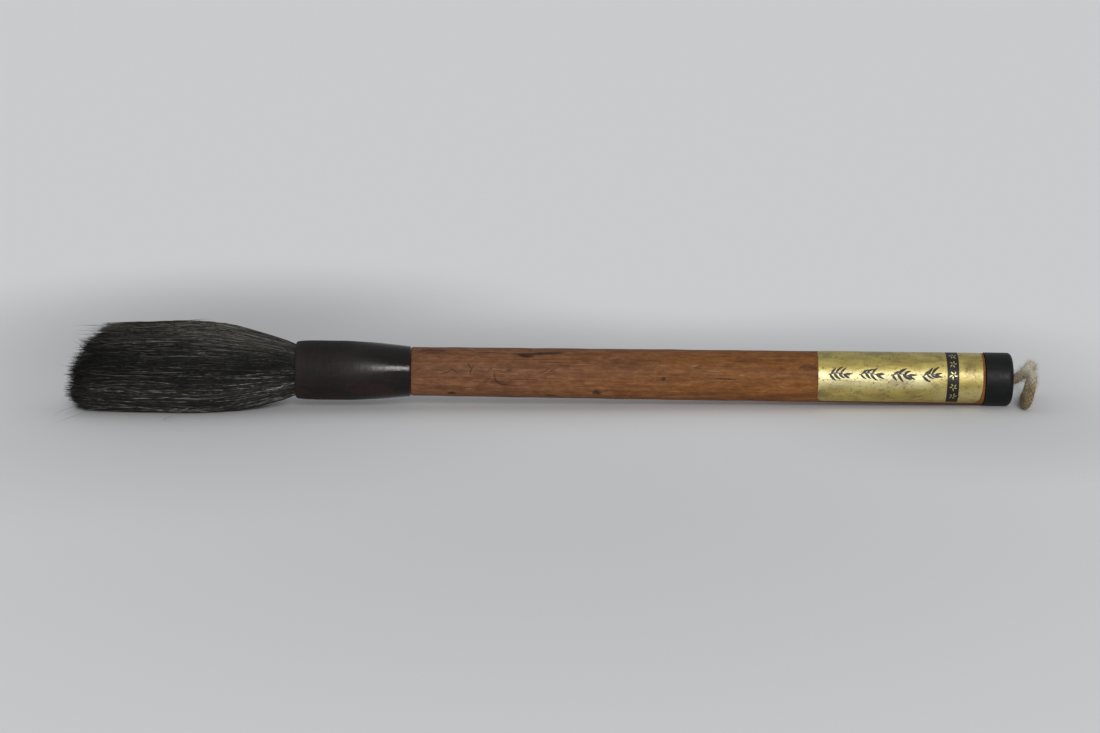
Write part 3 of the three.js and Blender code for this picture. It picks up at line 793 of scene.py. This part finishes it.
def cord_fuzz(line, count):
    """Loose cotton fibres that stand off the cord."""
    random = np.random.default_rng(SEED + 7)
    first, second = frames_along(line)
    # More of them where the loop is worn, over its crown.
    high = np.flatnonzero(line[:, 2] > -0.4)
    worn = random.random(count) < 0.75
    at = np.where(worn, random.choice(high, count), random.integers(12, len(line) - 12, count))
    around = random.uniform(0, 2 * math.pi, count)[:, None]
    out = first[at] * np.cos(around) + second[at] * np.sin(around)
    tangent = unit(np.gradient(line, axis=0))[at]
    lean = unit(tangent * random.normal(0, 0.8, (count, 1)) + random.normal(0, 0.6, (count, 3)))
    length = random.uniform(0.7, 1.7, (count, 1)) * np.where(worn, 1.6, 1)[:, None]
    t = np.linspace(0, 1, 6)[None, :, None]
    start = line[at] + out * 1.35
    lines = start[:, None] + out[:, None] * length[:, None] * 0.42 * t
    lines = lines + lean[:, None] * length[:, None] * 0.8 * t**1.5
    lines += random.normal(0, 0.05, lines.shape) * t
    width = 0.036 * (1 - 0.6 * t[..., 0])
    side = np.broadcast_to(np.cross(out, tangent)[:, None], lines.shape)
    return tubes(over_table(lines, 0.05), width, width, side, 3)


def add_cord(cotton, loose_cotton):
    INTO_HOLE = 2.4
    FIBRES = 3800
    line = cord_line()
    mesh, valley = braid(lengthened(line, INTO_HOLE))
    cord = add_mesh("hanging_cord", *mesh, cotton, {"valley": valley})
    fuzz = add_mesh("cord_fuzz", *cord_fuzz(line, FIBRES), loose_cotton)
    for piece in (cord, fuzz):
        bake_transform(piece)
    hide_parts("cord_loop")


def add_knot(cotton):
    """The knot inside the handle, with the two strands that run from it to the end cap's face."""
    middle = CAP_FRONT - SPIGOT_LENGTH - GAP - 4.5
    t = np.linspace(0, 2 * math.pi, 160)
    reach = (2 + np.cos(3 * t)) * 1.15
    loop = np.stack([middle + 2.5 * np.sin(3 * t), reach * np.cos(2 * t), reach * np.sin(2 * t)], 1)
    strands = [
        spaced(np.array([(middle, side, 0), (CAP_REAR - 2.6, side, 0)], float), 0.3)
        for side in (-STRAND_OFFSET, STRAND_OFFSET)
    ]
    meshes, valleys = zip(*(braid(each) for each in [spaced(loop, 0.35), *strands]))
    knot = add_mesh("cord_knot_braid", *join(*meshes), cotton, {"valley": np.concatenate(valleys)})
    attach(knot, "brush")
    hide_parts("cord_knot")


# ---- socket, handle and end cap ----


def add_socket():
    bore = TENON_RADIUS + GAP
    bore_x = CUP_DEPTH + WEB_THICKNESS
    lip = [(0.15, 11.75), (0.6, 12.0), (1.4, 12.18), (2.6, 12.32), (4.5, 12.45)]
    belly = [(9, SOCKET_RADIUS), (16, SOCKET_RADIUS), (24, 12.45), (31, 12.1)]
    neck = [(37, 11.7), (42, 11.25), (46, 10.85), (SOCKET_LENGTH - 0.4, SOCKET_REAR_RADIUS)]
    x = np.linspace(0.15, SOCKET_LENGTH - 0.4, 90)
    outside = list(zip(x, spline(lip + belly + neck, x)))
    outline = [
        (CUP_DEPTH, WEB_HOLE_RADIUS),
        (CUP_DEPTH, CUP_RADIUS),
        (0.7, CUP_RADIUS),
        *arc(LIP_ROUND, CUP_RADIUS + LIP_ROUND - 0.1, LIP_ROUND, 205, 165, 5),
        *outside,
        (SOCKET_LENGTH, SOCKET_REAR_RADIUS - 0.4),
        (SOCKET_LENGTH, bore),
        (bore_x, bore),
        (bore_x, WEB_HOLE_RADIUS),
    ]

    def change(x, angle, radius):
        worn = ripple(x, angle, SEED + 1, 6, 0.025)
        return radius + np.where(radius > CUP_RADIUS + 1, worn, 0)

    socket = turned("socket_turned", outline, horn_look(), 192, 0.9, change)
    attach(socket, "brush")
    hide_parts("horn_socket")


def add_handle():
    tenon_x = SOCKET_LENGTH - TENON_LENGTH
    shoulder_x = SOCKET_LENGTH + 0.5 * GAP
    label_x = LABEL_REAR - LABEL_LENGTH - 2
    rear_x = CAP_FRONT - GAP
    SHOULDER_ROUND = 0.5
    outline = [
        (DIAPHRAGM_X, 0),
        (DIAPHRAGM_X, CULM_BORE_RADIUS),
        (tenon_x, CULM_BORE_RADIUS),
        (tenon_x, TENON_RADIUS - 0.8),
        (tenon_x + 0.8, TENON_RADIUS),
        (shoulder_x, TENON_RADIUS),
        (shoulder_x, HANDLE_FRONT_RADIUS - SHOULDER_ROUND),
        *arc(shoulder_x + SHOULDER_ROUND, HANDLE_FRONT_RADIUS - SHOULDER_ROUND, SHOULDER_ROUND, 180, 90, 7),
        (SOCKET_LENGTH + 80, 10.6),
        (label_x, HANDLE_REAR_RADIUS),
        (rear_x, HANDLE_REAR_RADIUS),
        (rear_x, REAMED_RADIUS),
        (CAP_FRONT - REAMED_DEPTH, REAMED_RADIUS),
        (CAP_FRONT - REAMED_DEPTH, CULM_BORE_RADIUS),
        (DIAPHRAGM_X + DIAPHRAGM_THICKNESS, CULM_BORE_RADIUS),
        (DIAPHRAGM_X + DIAPHRAGM_THICKNESS, 0),
    ]
    DIMPLES = [(127, -37, 1.6, 0.35), (155, 3, 1.1, 0.25), (66, -46, 1.3, 0.2), (243, 118, 1.5, 0.3)]

    def change(x, angle, radius):
        outside = radius > HANDLE_FRONT_RADIUS - 0.5
        open_wood = np.clip((label_x - x) / 6, 0, 1)
        uneven = ripple(x, angle, SEED + 2, 8, 0.07) * open_wood
        for place, at, size, depth in DIMPLES:
            across = ((angle - at + 180) % 360 - 180) * math.radians(1) * radius
            uneven -= depth * np.exp(-((x - place) ** 2 + (1.4 * across) ** 2) / size**2)
        return radius + np.where(outside, uneven, 0)

    handle = turned("bamboo_handle", outline, bamboo_look(), 180, 0.9, change)
    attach(handle, "brush")
    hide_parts("handle_tube")


def add_end_cap():
    spigot_x = CAP_FRONT - SPIGOT_LENGTH
    spigot = REAMED_RADIUS - GAP
    round_x = CAP_REAR - CAP_ROUND
    outline = [
        (spigot_x, CORD_HOLE_RADIUS),
        (spigot_x, spigot - 0.5),
        (spigot_x + 0.5, spigot),
        (CAP_FRONT, spigot),
        (CAP_FRONT, CAP_RADIUS - 0.25),
        *arc(CAP_FRONT + 0.25, CAP_RADIUS - 0.25, 0.25, 180, 90, 4),
        (round_x - 2.2, CAP_RADIUS),
        *arc(round_x, CAP_RADIUS - CAP_ROUND, CAP_ROUND, 90, 0, 16),
        (CAP_REAR, CORD_HOLE_RADIUS + MOUTH_FLARE),
        *arc(CAP_REAR - MOUTH_FLARE, CORD_HOLE_RADIUS + MOUTH_FLARE, MOUTH_FLARE, 0, -90, 6),
    ]
    cap = turned("end_cap_turned", outline, cap_look(), 192, 0.8)
    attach(cap, "brush")
    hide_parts("end_cap")


# ---- label ----

MARKS_ANGLE = 19.6  # where the middle of the label's print faces
MARKS_FRONT = LABEL_REAR - LABEL_LENGTH


def on_label(x, arc_length, lift):
    """Points over the label from x, the distance round it from the middle of its front, and a height."""
    radius = LABEL_TOP_RADIUS + np.asarray(lift, float)
    around = np.radians(MARKS_ANGLE) + np.asarray(arc_length, float) / LABEL_TOP_RADIUS
    return round_axis(np.asarray(x, float), around, radius)


def grid_solid(top, bottom):
    """A closed sheet from two grids of points of the same size."""
    rows, columns = top.shape[:2]
    size = rows * columns
    i, j = np.meshgrid(np.arange(rows - 1), np.arange(columns - 1), indexing="ij")
    a = (i * columns + j).ravel()
    upper = np.stack([a, a + 1, a + columns + 1, a + columns], 1)
    lower = upper[:, ::-1] + size
    front = np.arange(columns - 1)
    right = np.arange(rows - 1) * columns + columns - 1
    rear = (rows - 1) * columns + np.arange(columns - 1, 0, -1)
    left = np.arange(rows - 1, 0, -1) * columns
    edge = np.concatenate([front, right, rear, left])
    after = np.roll(edge, -1)
    walls = np.stack([after, edge, edge + size, after + size], 1)
    points = np.vstack([top.reshape(-1, 3), bottom.reshape(-1, 3)])
    return points, np.vstack([upper, lower, walls]), np.zeros((0, 3), int)


def wrapped_sheet(front, rear, low, high, inner, outer, columns, rows, corner=0, slant=0, crinkle=0):
    """A sheet on the handle from x front to rear, and from angle low to high, with rounded corners."""
    u = np.linspace(0, 1, columns)
    v = np.linspace(0, 1, rows)
    # Points gather at the ends, where the corners turn.
    u = 0.5 - 0.5 * np.cos(math.pi * u) * (0.25 + 0.75 * np.abs(np.cos(math.pi * u)))
    u = np.sort(u)
    arc_mm = math.radians(1) * outer
    x = front + (rear - front) * u
    from_end = np.minimum(x - front, rear - x)
    inside = np.clip(corner - from_end, 0, corner)
    cut = (corner - np.sqrt(np.maximum(corner**2 - inside**2, 0))) / arc_mm if corner else 0 * x
    lows, highs = low + cut, high - cut
    angle = lows[:, None] + (highs - lows)[:, None] * v[None]
    lean = slant * (1 - np.clip((angle - low) / 60, 0, 1)) ** 2 * u[:, None] ** 8
    across = x[:, None] - lean
    swell = ripple(across * 3, angle * 2, SEED + 3, 10, crinkle) if crinkle else 0
    radians = np.radians(angle)

    def surface(radius):
        return round_axis(across, radians, radius)

    return grid_solid(surface(outer + swell), surface(inner + swell))


def stroke(path, widths, low, high):
    """A brushstroke on the label: a thin closed ribbon along (x, round) points, of changing width."""
    path = np.asarray(path, float)
    tangent = unit(np.gradient(path, axis=0))
    normal = np.stack([-tangent[:, 1], tangent[:, 0]], 1)
    widths = np.asarray(widths, float)[:, None]
    flat = np.stack([path - normal * widths, path, path + normal * widths], 1)
    top = on_label(flat[..., 0], flat[..., 1], high)
    bottom = on_label(flat[..., 0], flat[..., 1], low)
    return grid_solid(top[:, ::-1], bottom[:, ::-1])


def leaf(x, y, heading, length, width, low, high, curl=0.12):
    """A bamboo leaf painted in one stroke."""
    t = np.linspace(0, 1, 13)
    turn = math.radians(heading) + curl * (t - 0.5)
    path = np.stack([x + length * t * np.cos(turn), y + length * t * np.sin(turn)], 1)
    widths = 0.05 + width * np.sin(math.pi * t**0.65) ** 0.8
    return stroke(path, widths, low, high)


def sprig(x, y, size, random, low, high):
    """A small sprig of bamboo: a thin jointed stem with leaves, about size long and 8 mm high."""
    lean = random.uniform(-10, 10)
    heading = math.radians(lean)
    stem = np.linspace(0, 1, 11)
    bend = random.uniform(0.6, 1.2)
    sx = x + size * (0.72 * stem - 0.52) * math.cos(heading)
    sy = y + size * (0.72 * stem - 0.52) * math.sin(heading) + bend * np.sin(stem * 2.6) - 0.5
    parts = [stroke(np.stack([sx, sy], 1), 0.17 + 0.07 * np.cos(stem * 15) ** 2, low, high)]
    LEAVES = [(1, -1), (2, 1), (4, -1), (5, 1), (7, -1), (8, 1), (10, -0.6), (10, 0.15)]
    for k, (at, way) in enumerate(LEAVES):
        spread = way * random.uniform(36, 62)
        length = random.uniform(3.0, 4.6)
        width = random.uniform(0.38, 0.56)
        lift = high + 0.004 * (k + 1)
        curl = way * random.uniform(-0.6, -0.1)
        parts.append(leaf(sx[at], sy[at], lean + spread, length, width, low, lift, curl))
    return join(*parts)


def flower(x, y, random, low, high):
    """A small flower: short petals round a dot, about 3.2 mm across."""
    parts = []
    start = random.uniform(0, 360)
    for petal in range(5):
        heading = start + 72 * petal + random.uniform(-9, 9)
        near_x = x + 0.45 * math.cos(math.radians(heading))
        near_y = y + 0.45 * math.sin(math.radians(heading))
        lift = high + 0.004 * petal
        parts.append(leaf(near_x, near_y, heading, random.uniform(1.0, 1.6), 0.2, low, lift, 0.5))
    return join(*parts)


def add_label():
    front = MARKS_FRONT
    sheet = wrapped_sheet(
        front, LABEL_REAR, LABEL_LOW, LABEL_HIGH, LABEL_RADIUS, LABEL_TOP_RADIUS, 150, 90, 3.2, 1.7, 0.012
    )
    foil = add_mesh("foil_sheet", *sheet, foil_look(), sharp=40)
    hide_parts("foil_label")
    ink = ink_look()
    BAND_TO_REAR, BAND_WIDTH = 15.1, 5.0
    FLOWERS = (-9.4, -4.9, 0.1, 5.0, 9.6)
    band_front = LABEL_REAR - BAND_TO_REAR
    band_rear = band_front + BAND_WIDTH
    low = LABEL_TOP_RADIUS + 0.03
    sheet = wrapped_sheet(band_front, band_rear, LABEL_LOW + 4, LABEL_HIGH - 2, low, low + 0.05, 16, 90)
    band = add_mesh("label_band", *sheet, ink, sharp=40)
    random = np.random.default_rng(SEED + 4)
    SPRIGS = [(8.8, 9), (22.1, 10), (35.6, 10), (47.4, 7.6)]
    sprigs = [sprig(front + middle, 0, size, random, 0.03, 0.06) for middle, size in SPRIGS]
    marks = add_mesh("label_sprigs", *join(*sprigs), ink, sharp=40)
    centre = (band_front + band_rear) / 2
    flowers = [flower(centre + 0.1, y, random, 0.09, 0.12) for y in FLOWERS]
    band_marks = add_mesh("band_flowers", *join(*flowers), gold_print_look(), sharp=40)
    for piece in (foil, band, marks, band_marks):
        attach(piece, "brush")


# ---- hair ----

# The tuft's radius at distances from the lip, before the tips' rounding. It starts inside the cup.
TUFT_PROFILE = [(-5, 9.2), (-0.8, 9.65), (0, 10.45), (2, 11.5), (8, 13.4), (18.5, 16.3), (29, 18.7)]
TUFT_PROFILE += [(40, 19.85), (50, 19.75), (60, 19.2), (70, 18.5), (80, 17.6), (90, 16.7), (100, 16.0)]


TIP_OUT = 88  # where a hair's height and side are measured, for its length
LOOSE_FROM, LOOSE_OVER = 25, 65  # where the locks start to loosen, and over what length they do
PINCH_FROM = 0.87  # the share of a hair's length where its lock starts to draw to a point
PALE_SHARE = 0.15  # of all hairs
WARM_OUT = 26  # the middle of the warm pale patch on top
HAIRS_IN_LAYER = 3300
STRAYS = 260
WISPS = 380


def tuft_radius(out):
    return spline(TUFT_PROFILE, np.clip(np.asarray(out, float), -5, 100))


def tip_reach(height, side):
    """How far from the lip the tuft ends: cut slanting above its axis, rounded at its lower edge."""
    above = np.maximum(height - 1, 0)
    slant = 1.4 * (np.sqrt(above**2 + 4) - 2)
    below = np.maximum(-8 - height, 0)
    return 95.2 - slant - 0.018 * side**2 - 0.05 * below**2


def over_table(points, clearance):
    """Points of hair or loose fibre, with what would be under the table pressed flat over it."""
    x, z = points[..., 0], points[..., 2]
    table = -(LIP.z / MM + x * AXIS.z) / UPRIGHT.z
    height = z - table - clearance
    FIRMNESS = 1.3
    pressed = np.where(height > 12, height, np.log1p(np.exp(np.minimum(height, 12) * FIRMNESS)) / FIRMNESS)
    made = points.copy()
    made[..., 2] = table + clearance + pressed
    return made


def strands(random, count, steps, depth, start, clumps, spread, ragged, width):
    """Hairs that run from near the socket to the tip, gathered into loose locks.

    depth is the least and greatest share of the tuft's radius, start the least and greatest distance
    from the lip where they begin, spread how far their tips wander, in millimetres, and ragged how far
    their ends differ. Returns their points, widths, tones and warmth."""
    lock_angle = random.uniform(0, 2 * math.pi, clumps)
    lock_share = np.sqrt(random.uniform(depth[0] ** 2, depth[1] ** 2, clumps))
    lock_lean = random.normal(0, spread, (clumps, 2))
    lock_length = random.normal(0, 1, clumps)
    lock_tone = random.normal(0, 0.05, clumps)
    lock = random.integers(0, clumps, count)
    tightness = random.uniform(0.1, 0.55, clumps)[lock][:, None]
    angle = lock_angle[lock] + random.normal(0, 0.12, count) / np.maximum(lock_share[lock], 0.3)
    share = np.sqrt(random.uniform(depth[0] ** 2, depth[1] ** 2, count))
    share = 0.5 * share + 0.5 * np.clip(lock_share[lock] + random.normal(0, 0.05, count), *depth)
    tip = tuft_radius(TIP_OUT)
    height, side = share * tip * np.sin(angle), share * tip * np.cos(angle)
    ends_differ = ragged * (0.5 + 0.055 * np.maximum(height, 0))
    end = tip_reach(height, side) + (lock_length[lock] + 0.4 * random.normal(0, 1, count)) * ends_differ
    begin = random.uniform(*start, count)
    t = np.linspace(0, 1, steps)[None]
    out = begin[:, None] + (end - begin)[:, None] * t
    late = np.clip((out - LOOSE_FROM) / LOOSE_OVER, 0, 1.2) ** 2
    # Near its end each lock draws to a point.
    pinch = np.clip((t - PINCH_FROM) / (1 - PINCH_FROM), 0, 1) ** 1.3
    gather = np.minimum(tightness * late + 0.75 * pinch, 0.95)
    wander = random.normal(0, 1, (count, 4))
    wave = 0.035 * wander[:, :1] * np.sin(out / 9 + wander[:, 1:2] * 3)
    sway = 0.03 * wander[:, 2:3] * np.sin(out / 11 + wander[:, 3:4] * 3)
    angles = angle[:, None] + (lock_angle[lock] - angle)[:, None] * gather
    skew = random.normal(0, 0.07, (count, 1)) * np.clip(out / 60, 0, 1.4)
    loose = sway + 0.06 * random.normal(0, 1, (count, 1)) * late + skew
    angles = angles + loose * (1 - 0.7 * pinch)
    shares = share[:, None] + (lock_share[lock] - share)[:, None] * gather + wave * 0.6
    shares = np.clip(shares, 0.02, None)
    # An outer hair keeps close under the tuft's surface, and only its tip leaves it.
    radius = tuft_radius(out) * np.minimum(shares, 1.0 + 0.01 * wander[:, :1])
    lean = lock_lean[lock][:, None] * late[..., None]
    own_lean = random.normal(0, spread * 0.7, (count, 2))[:, None] * (late * (1 - 0.6 * pinch))[..., None]
    points = round_axis(-out, angles, radius)
    points[..., 1:] += lean + own_lean
    z = points[..., 2]
    points = over_table(points, 0.15 + 0.5 * random.random((count, 1)))
    taper = np.clip((1.02 - t) / 0.3, 0.14, 1)
    widths = width * random.uniform(0.75, 1.25, (count, 1)) * taper
    tone = np.clip(random.beta(1.6, 2.6, count) + lock_tone[lock], 0, 1)
    pale = random.random(count) < PALE_SHARE
    tone = np.where(pale, random.uniform(0.70, 0.95, count), tone * 0.82)
    top = np.clip((z / np.maximum(tuft_radius(out), 1) - 0.6) / 0.32, 0, 1)
    bell = np.exp(-(((out - WARM_OUT) / WARM_OUT) ** 2))
    warm = top * (0.25 + 0.75 * bell) * random.uniform(0.1, 1, (count, 1))
    tones = tone[:, None] + (0.35 * top - 0.08) * np.clip((t - 0.8) / 0.2, 0, 1)
    return points, widths, np.clip(tones, 0, 1), warm


def add_strands(name, hair, made):
    sides = 3
    points, widths, tones, warm = made
    axis_out = points * (0, 1, 1)
    fields = {"tone": np.repeat(tones.ravel(), sides), "warm": np.repeat(warm.ravel(), sides)}
    mesh = tubes(points, widths / 2, widths / 2, unit(axis_out + (0, 0, 1e-6)), sides)
    return add_mesh(name, *mesh, hair, fields)


def stray_strands(random, routes, width):
    """Single hairs that stand off the tuft, each along its own points."""
    steps = 14
    lines = []
    for route in routes:
        line = rounded_path(route, 1.0)
        at = np.linspace(0, len(line) - 1, steps)
        lines.append(np.stack([np.interp(at, np.arange(len(line)), line[:, k]) for k in range(3)], 1))
    points = over_table(np.array(lines), 0.12)
    t = np.linspace(0, 1, steps)[None]
    widths = width * np.clip((1.02 - t) / 0.35, 0.2, 1) * np.ones((len(routes), 1))
    tones = np.broadcast_to(random.uniform(0.3, 0.95, (len(routes), 1)), widths.shape)
    return points, widths, tones, np.zeros(widths.shape)


def stray_routes(random):
    """Hairs out of place: some listed, where the tuft has them, and some scattered round it."""
    routes = [
        [(-60, -9, -14), (-84, -13, -15), (-93, -19, -17.5), (-98, -28, -17.8)],
        [(-66, -8, -12), (-88, -9, -14), (-97, -12, -16), (-101, -16, -17.6)],
        [(-40, -12, -12), (-50, -18, -16), (-54, -22, -17.6), (-50, -27, -17.6)],
        [(-28, -2, 18.0), (-38, -3, 19.9), (-45, -3, 20.6), (-52, -3, 20.6)],
        [(-52, 2, 19.4), (-46, 3, 20.0), (-40, 3, 20.7), (-36, 2, 20.9)],
        [(-60, -1, 18.8), (-74, -2, 18.9), (-84, -2, 18.6), (-92, -3, 18.9)],
        [(-62, 1, 18.6), (-76, 2, 18.3), (-88, 3, 17.2), (-95, 4, 16.9)],
    ]
    for _ in range(STRAYS):
        angle = random.uniform(0, 2 * math.pi)
        start = random.uniform(20, 70)
        length = random.uniform(16, 30)
        stand = random.uniform(0.3, 1.3)
        turn = random.normal(0, 0.12)
        made = []
        for t in (0, 0.35, 0.7, 1):
            out = start + length * t
            radius = tuft_radius(np.array(out)) * 0.97 + stand * t**1.4
            made.append(round_axis(-out, angle + turn * t, radius))
        routes.append(made)
    return routes


def wisp_routes(random):
    """Small pointed wisps that reach past the tuft's end, longest at its upper edge."""
    routes = []
    for _ in range(WISPS):
        angle = random.uniform(0, 2 * math.pi)
        share = random.uniform(0.3, 1) ** 0.5
        radius = tuft_radius(90)
        height, side = share * radius * math.sin(angle), share * radius * math.cos(angle)
        end = tip_reach(height, side) + random.uniform(0.8, 4.0) + 0.16 * max(height, 0)
        lean = random.normal(0, 0.55, 2)
        made = []
        for t in (0, 0.4, 0.75, 1):
            out = end - 16 * (1 - t)
            point = round_axis(-out, angle, 0.985 * share * tuft_radius(out))
            made.append(point + (0, lean[0] * t**2, lean[1] * t**2))
        routes.append(made)
    return routes


def add_bundle(hair):
    """The mass of hair under the strands: a closed body with combed grooves."""
    out = np.concatenate([np.linspace(-4.6, 64, 90), np.linspace(65, 82, 26)])
    share = np.where(out > 64, np.sqrt(np.clip(1 - ((out - 64) / 18.4) ** 2, 0, 1)), 1)
    profile = (tuft_radius(out) - np.interp(out, [-4.6, 10, 30], [0.6, 1.6, 2.6])) * share
    outline = [(-82.4, 0), *[(-o, r) for o, r in zip(out[::-1], profile[::-1])], (4.6, 0)]
    random = np.random.default_rng(SEED + 5)
    sides = 240
    grooves = random.normal(0, 1, sides)
    depths = 0.016 * (grooves + np.roll(grooves, 1)) / 2
    combed = grooved(depths, lambda x: np.clip(-x / 20, 0, 1))
    bundle = turned("hair_bundle", outline, hair, sides, 1.2, combed, None)
    mesh = bundle.data
    place = np.zeros(len(mesh.vertices) * 3, np.float32)
    mesh.attributes["place"].data.foreach_get("vector", place)
    points = over_table(place.reshape(-1, 3).astype(float), 0.9)
    mesh.vertices.foreach_set("co", put(points).astype(np.float32).ravel())
    return bundle


def add_hair():
    hair = hair_look()
    random = np.random.default_rng(SEED)
    pieces = [add_bundle(hair)]
    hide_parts("hair_core", "hair_belly")
    inner = strands(random, HAIRS_IN_LAYER, 9, (0.05, 0.88), (48, 62), 130, 0.9, 2.3, 0.2)
    pieces.append(add_strands("tip_hairs", hair, inner))
    for k, depth in enumerate([(0.86, 0.95), (0.93, 0.99), (0.96, 1.0)]):
        layer = strands(random, HAIRS_IN_LAYER, 12, depth, (-4, -1.5), 110, 0.9, 2.1, 0.19)
        pieces.append(add_strands(f"mantle_hairs_{k + 1}", hair, layer))
    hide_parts("hair_mantle")
    strays = stray_strands(random, stray_routes(random), 0.15)
    pieces.append(add_strands("stray_hairs", hair, strays))
    points, widths, tones, warm = stray_strands(random, wisp_routes(random), 0.46)
    pieces.append(add_strands("tip_wisps", hair, (points, widths, tones * 0.45, warm)))
    for piece in pieces:
        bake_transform(piece)


def add_root():
    """The hair's bound root in the cup, its thread and the rosin behind it."""
    neck = CUP_RADIUS - GAP
    outline = [
        (3.9, 0),
        (1.8, 9.0),
        (0.9, neck - 0.1),
        (1.6, neck),
        (4.8, neck),
        *arc(6.8, ROOT_RADIUS + 1, 1, 200, 270, 4),
        (ROOT_BACK - 0.6, ROOT_RADIUS),
        (ROOT_BACK, ROOT_RADIUS - 0.6),
        (ROOT_BACK, 0),
    ]
    random = np.random.default_rng(SEED + 6)
    sides = 240
    tied = grooved(-0.02 * random.uniform(0, 1, sides), lambda x: 1)
    root = turned("root_bundle", outline, root_look(), sides, 0.8, tied, None)
    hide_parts("hair_root")
    turns = np.linspace(0, 5, 5 * 60 + 1)
    around = 2 * math.pi * turns
    lines = []
    for ply in (0, math.pi):
        twist = around * 9 + ply
        radius = ROOT_RADIUS + THREAD_RADIUS + 0.2 + 0.2 * np.cos(twist)
        x = 8.2 + 1.1 * turns + 0.2 * np.sin(twist)
        lines.append(np.stack([x, radius * np.cos(around), radius * np.sin(around)], 1))
    lines = np.array(lines)
    outward = unit(lines * (0, 1, 1))
    thread = add_mesh("thread_winding", *tubes(lines, 0.22, 0.22, outward, 8), thread_look())
    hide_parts("binding_thread")
    for piece in (root, thread):
        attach(piece, "brush")
    frame["nodes"]["rosin_bed"].data.materials.clear()
    frame["nodes"]["rosin_bed"].data.materials.append(rosin_look())


def add_floor():
    half = 9
    corners = [(-half, -half, 0), (half, -half, 0), (half, half, 0), (-half, half, 0)]
    mesh = bpy.data.meshes.new("floor")
    mesh.from_pydata(corners, [], [(0, 1, 2, 3)])
    mesh.materials.append(floor_look())
    floor = add_object("floor", mesh)


add_camera()
cotton = cotton_look("cotton", (0.22, 0.158, 0.074), (0.40, 0.31, 0.16))
loose_cotton = cotton_look("loose_cotton", (0.42, 0.36, 0.25), (0.60, 0.53, 0.40))
add_cord(cotton, loose_cotton)
add_knot(cotton)
add_floor()
add_light()
add_socket()
add_handle()
add_end_cap()
add_label()
add_root()
add_hair()
